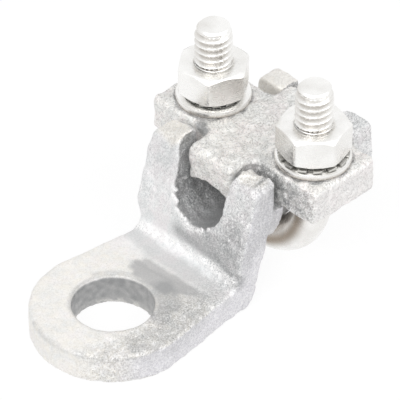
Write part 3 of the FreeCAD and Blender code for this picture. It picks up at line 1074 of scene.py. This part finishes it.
toothed = {
    "inner": 3.33 * mm,
    "ring": 4.75 * mm,
    "innerRing": 0.96,             # share of that, where one more row lies
    "outer": {"left": 5.1 * mm, "right": 5.95 * mm},       # the left one is squeezed in more
    "thick": 0.36 * mm,
    "brokenEdge": 0.05 * mm,
    "brokenDeg": 50,
    "sharpDeg": 40,
    "teeth": 14,
    "columns": 10,                 # across one tooth and its gap
    "toothColumns": 6,
    "rows": 5,
    "twistDeg": 7,
    # painted shade: the teeth sit dark in the gap under the nut
    "paintedShade": {"left": 0.75, "right": 0.4},
}


def makeToothedWasher(hand, side):
    low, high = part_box(hand + "_lock_washer")
    middle = (low.z + high.z) / 2
    columns = toothed["columns"]
    total = toothed["teeth"] * columns
    halfTooth = toothed["toothColumns"] / 2
    reach = toothed["outer"][hand] - toothed["ring"]
    radii = [toothed["inner"], toothed["ring"] * toothed["innerRing"], toothed["ring"]]
    radii += [toothed["ring"] + reach * k / toothed["rows"] for k in range(1, toothed["rows"] + 1)]
    bm = bmesh.new()
    grid = {}
    for i, radius in enumerate(radii):
        share = min(max((radius - toothed["ring"]) / reach, 0), 1)
        for j in range(total):
            inTooth = j % columns - halfTooth
            if i > 2 and abs(inTooth) > halfTooth:
                continue
            angle = fullTurn * (j - halfTooth) / total
            across = fullTurn * inTooth / total * radius
            lift = across * math.tan(math.radians(toothed["twistDeg"])) * share
            grid[i, j] = bm.verts.new((legCentreX + radius * math.cos(angle),
                                       side * legCentreY + radius * math.sin(angle), middle + lift))
    for i in range(len(radii) - 1):
        for j in range(total):
            if i >= 2 and j % columns >= toothed["toothColumns"]:
                continue
            n = (j + 1) % total
            bm.faces.new([grid[corner] for corner in ((i, j), (i, n), (i + 1, n), (i + 1, j))])
    name = hand + "ToothedWasher"
    mesh = bpy.data.meshes.new(name)
    bm.to_mesh(mesh)
    bm.free()
    obj = bpy.data.objects.new(name, mesh)
    bpy.context.scene.collection.objects.link(obj)
    plate = obj.modifiers.new("plate", "SOLIDIFY")
    plate.thickness = toothed["thick"]
    plate.offset = 0
    broken = obj.modifiers.new("broken", "BEVEL")
    broken.width = toothed["brokenEdge"]
    broken.limit_method = "ANGLE"
    broken.angle_limit = math.radians(toothed["brokenDeg"])
    bakeModifiers(obj)
    turnOutwards(obj.data)
    softShade(obj.data, toothed["sharpDeg"])
    paintVertices(obj.data, "shade", [toothed["paintedShade"][hand]] * len(obj.data.vertices))
    return obj


for hand, side in hands.items():
    dress(makeFlatWasher(hand, side), washerSteel, "keeper_set", "stainless", hand + "_washer")
    dress(makeToothedWasher(hand, side), toothedSteel, "keeper_set", "stainless", hand + "_lock_washer")


# floor, world, lights, camera

studio = {
    "worldLow": 0.85,
    "worldSide": 1.0,
    "worldTop": 0.88,
    "worldStrength": 0.56,
    "floorHalf": 2.0,
    "floorGap": 0.02 * mm,
    "floorColour": (0.86, 0.86, 0.86),
    "floorRoughness": 0.9,
    "floorSpecular": 0.1,
    "floorGlow": 1.055,
    "floorShade": 0.16,            # how much of the floor's own shading the camera sees
    "lampAim": (0.02, 0, 0.015),
    "lamps": {                     # azimuth, elevation, distance, size and power
        "keyLamp": (-75, 50, 0.5, 0.5, 1.2),
        "fillLamp": (15, 40, 0.5, 0.5, 0.9),
    },
}


def seenDirectly(nodes, links):
    # 1 for what the camera sees straight or in a shiny surface
    rays = nodes.new("ShaderNodeLightPath")
    seen = nodes.new("ShaderNodeMath")
    seen.operation = "MAXIMUM"
    links.new(rays.outputs["Is Camera Ray"], seen.inputs[0])
    links.new(rays.outputs["Is Glossy Ray"], seen.inputs[1])
    return seen.outputs[0]


def makeFloor():
    size = studio["floorHalf"]
    low = cadBox[0].z - studio["floorGap"]
    corners = [(-size, -size, low), (size, -size, low), (size, size, low), (-size, size, low)]
    floor = newPiece("paleFloor", corners, [(0, 1, 2, 3)])
    material, nodes, links, shader = newMaterial("paleFloor")
    shader.inputs["Base Color"].default_value = (*studio["floorColour"], 1)
    shader.inputs["Roughness"].default_value = studio["floorRoughness"]
    shader.inputs["Specular IOR Level"].default_value = studio["floorSpecular"]
    glow = nodes.new("ShaderNodeEmission")
    glow.inputs["Color"].default_value = (1, 1, 1, 1)
    glow.inputs["Strength"].default_value = studio["floorGlow"]
    share = spreadNode(nodes, links, seenDirectly(nodes, links), 0, 1, 0, 1 - studio["floorShade"])
    mix = nodes.new("ShaderNodeMixShader")
    links.new(share, mix.inputs[0])
    links.new(shader.outputs[0], mix.inputs[1])
    links.new(glow.outputs[0], mix.inputs[2])
    links.new(mix.outputs[0], nodes["Material Output"].inputs[0])
    floor.data.materials.append(material)
    material.cycles.emission_sampling = "NONE"


def makeWorld():
    world = bpy.data.worlds.new("studioWorld")
    bpy.context.scene.world = world
    world.use_nodes = True
    world.cycles.sampling_method = "NONE"      # so that shiny metal sees the white and nothing dimmer
    nodes = world.node_tree.nodes
    links = world.node_tree.links
    nodes.clear()
    out = nodes.new("ShaderNodeOutputWorld")
    soft = nodes.new("ShaderNodeBackground")
    white = nodes.new("ShaderNodeBackground")
    white.inputs["Color"].default_value = (1, 1, 1, 1)
    white.inputs["Strength"].default_value = 1.0
    place = nodes.new("ShaderNodeTexCoord")
    split = nodes.new("ShaderNodeSeparateXYZ")
    links.new(place.outputs["Generated"], split.inputs[0])
    height = spreadNode(nodes, links, split.outputs[2], -1, 1, 0, 1)
    tones = greys((0.0, studio["worldLow"]), (0.5, studio["worldSide"]), (1.0, studio["worldTop"]))
    links.new(rampNode(nodes, links, height, tones), soft.inputs["Color"])
    soft.inputs["Strength"].default_value = studio["worldStrength"]
    mix = nodes.new("ShaderNodeMixShader")
    links.new(seenDirectly(nodes, links), mix.inputs[0])
    links.new(soft.outputs[0], mix.inputs[1])
    links.new(white.outputs[0], mix.inputs[2])
    links.new(mix.outputs[0], out.inputs[0])


def lookAt(obj, aim, azimuth, elevation, distance):
    a = math.radians(azimuth)
    e = math.radians(elevation)
    away = Vector((math.sin(a) * math.cos(e), -math.cos(a) * math.cos(e), math.sin(e)))
    obj.location = Vector(aim) + away * distance
    obj.rotation_euler = away.to_track_quat("Z", "Y").to_euler()


def addLamp(name, azimuth, elevation, distance, size, power):
    light = bpy.data.lights.new(name, "AREA")
    light.shape = "DISK"
    light.size = size
    light.energy = power
    lamp = bpy.data.objects.new(name, light)
    bpy.context.scene.collection.objects.link(lamp)
    lookAt(lamp, studio["lampAim"], azimuth, elevation, distance)


view = {
    "azimuth": -44.03,
    "elevation": 38.5,
    "distance": 640 * mm,
    "aim": (17.2907 * mm, -2.3684 * mm, 18.5675 * mm),
    "lens": 355.97,
    "sensor": 36,
    "clip": (0.05, 10),
}


def makeCamera():
    camera = bpy.data.objects.new("photoCamera", bpy.data.cameras.new("photoCamera"))
    bpy.context.scene.collection.objects.link(camera)
    lookAt(camera, view["aim"], view["azimuth"], view["elevation"], view["distance"])
    camera.data.lens = view["lens"]
    camera.data.sensor_width = view["sensor"]
    camera.data.clip_start, camera.data.clip_end = view["clip"]
    bpy.context.scene.camera = camera


makeFloor()
makeWorld()
for name, values in studio["lamps"].items():
    addLamp(name, *values)
makeCamera()
bpy.context.scene.view_settings.view_transform = "Standard"
print("studio ready")
